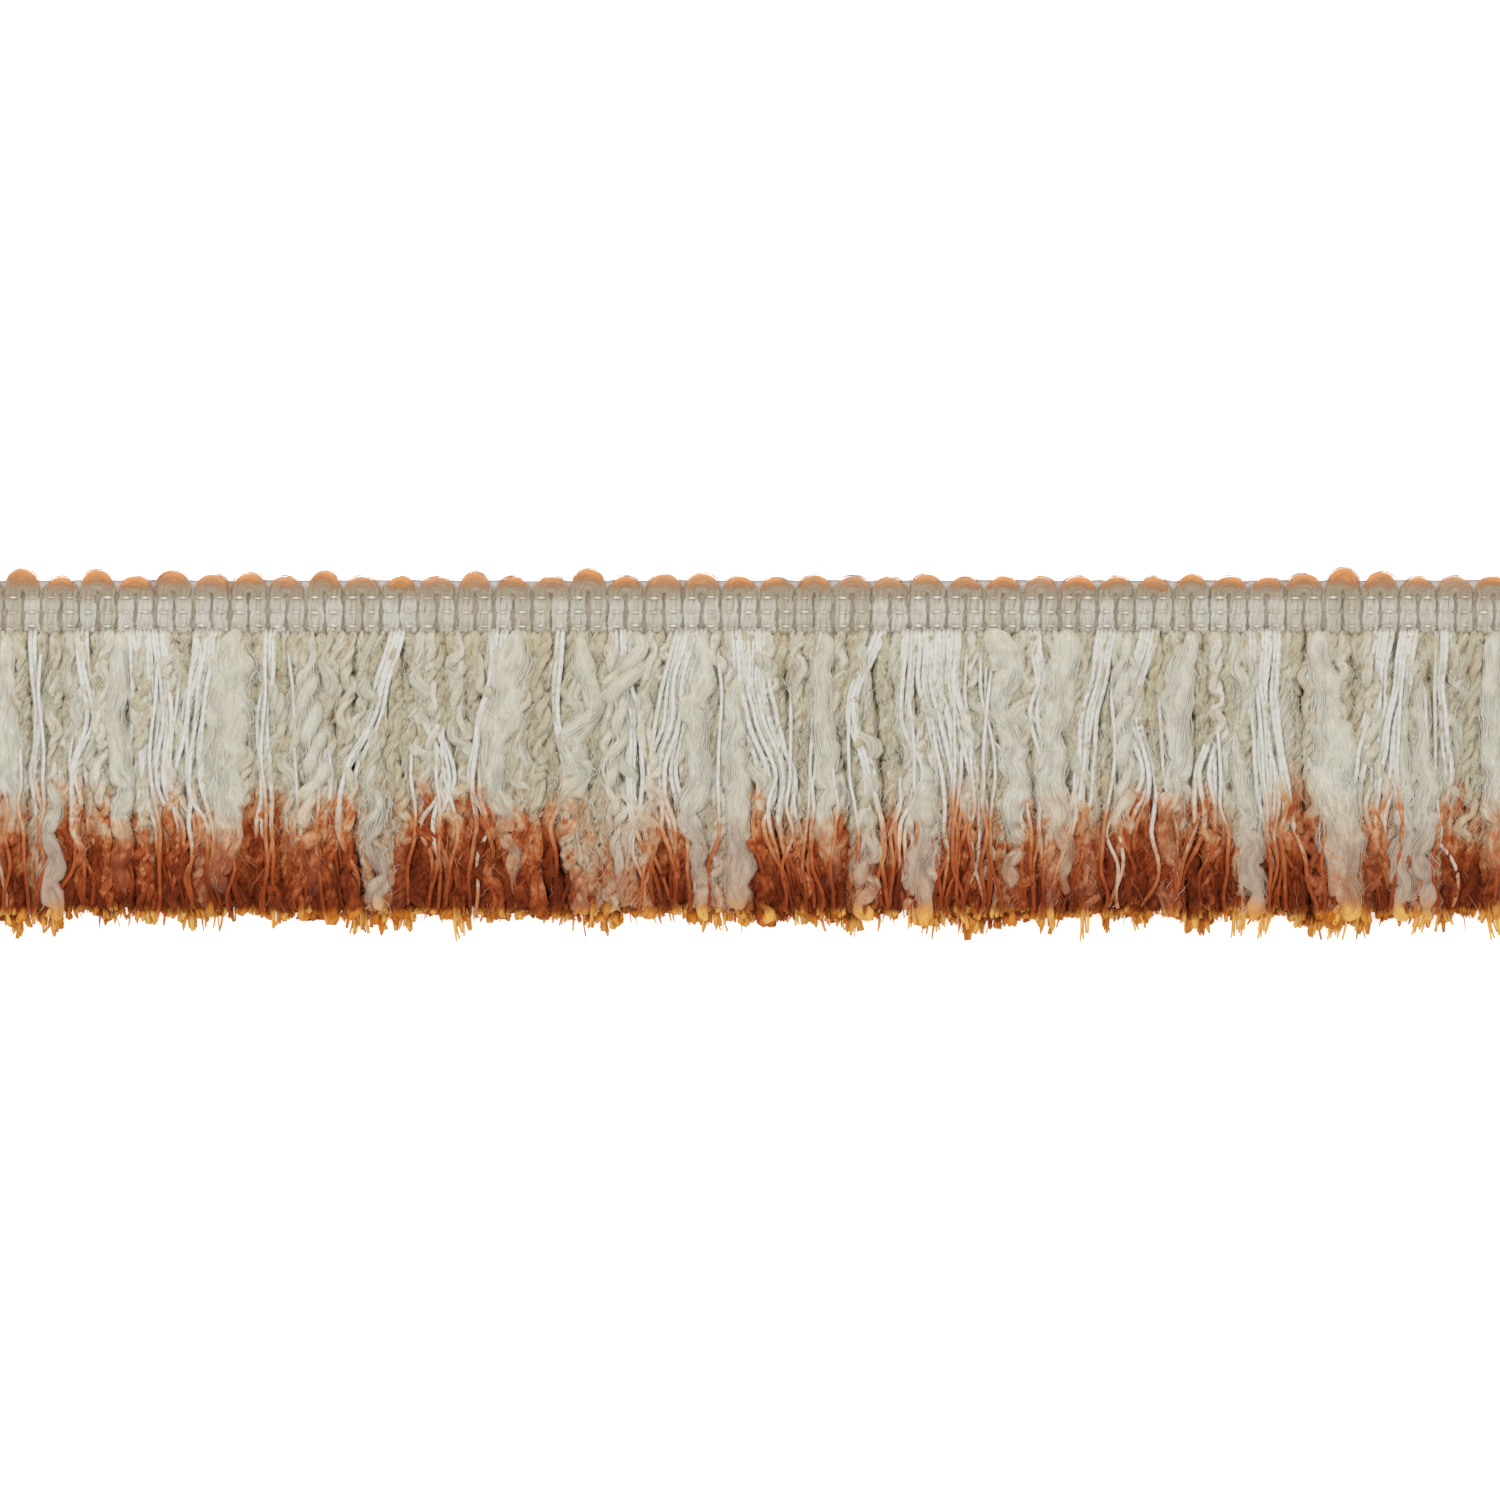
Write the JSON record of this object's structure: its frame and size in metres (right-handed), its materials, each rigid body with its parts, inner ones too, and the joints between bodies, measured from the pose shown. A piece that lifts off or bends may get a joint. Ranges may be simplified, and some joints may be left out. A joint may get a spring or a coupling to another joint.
{
  "type": "fringe trim",
  "caption": "Straight length of brush fringe trim: a ribbed woven heading with a looped top edge and a deep cut skirt of mixed boucle, slub and corded yarns, dip-dyed at the ends.",
  "frame": {"origin": "middle of the heading's flat underside", "axes": "+X along the trim, +Y towards the looped edge, +Z out of the face; the skirt lies towards -Y"},
  "size_m": [0.317, 0.0736, 0.0062],
  "materials": {
    "heading": "matte ribbed weave in ecru yarn",
    "binding": "smooth pale binding thread",
    "loop_yarn": "soft apricot yarn with fine streaks",
    "lock_yarn": "crinkled boucle yarn, dip-dyed rust at the ends",
    "slub_yarn": "soft slub roving and boucle, some dyed rust at the ends",
    "cord_yarn": "smooth two-ply cord with a slight sheen, some dyed rust at the ends"
  },
  "bodies": {
    "root": {"heading": "heading", "binding_1": "binding", "binding_2": "binding", "binding_3": "binding", "edge_loop_01": "loop_yarn", "edge_loop_02": "loop_yarn", "edge_loop_03": "loop_yarn", "edge_loop_04": "loop_yarn", "edge_loop_05": "loop_yarn", "edge_loop_06": "loop_yarn", "edge_loop_07": "loop_yarn", "edge_loop_08": "loop_yarn", "edge_loop_09": "loop_yarn", "edge_loop_10": "loop_yarn", "edge_loop_11": "loop_yarn", "edge_loop_12": "loop_yarn", "edge_loop_13": "loop_yarn", "edge_loop_14": "loop_yarn", "edge_loop_15": "loop_yarn", "edge_loop_16": "loop_yarn", "edge_loop_17": "loop_yarn", "edge_loop_18": "loop_yarn", "edge_loop_19": "loop_yarn", "edge_loop_20": "loop_yarn", "edge_loop_21": "loop_yarn", "edge_loop_22": "loop_yarn", "edge_loop_23": "loop_yarn", "edge_loop_24": "loop_yarn", "edge_loop_25": "loop_yarn", "edge_loop_26": "loop_yarn", "edge_loop_27": "loop_yarn", "edge_loop_28": "loop_yarn", "edge_loop_29": "loop_yarn", "edge_loop_30": "loop_yarn", "edge_loop_31": "loop_yarn", "edge_loop_32": "loop_yarn", "edge_loop_33": "loop_yarn", "edge_loop_34": "loop_yarn", "edge_loop_35": "loop_yarn", "edge_loop_36": "loop_yarn", "edge_loop_37": "loop_yarn", "edge_loop_38": "loop_yarn", "edge_loop_39": "loop_yarn", "edge_loop_40": "loop_yarn", "edge_loop_41": "loop_yarn", "edge_loop_42": "loop_yarn", "fringe_back": "lock_yarn", "fringe_middle": "slub_yarn", "fringe_front": "cord_yarn"}
  },
  "joints": []
}
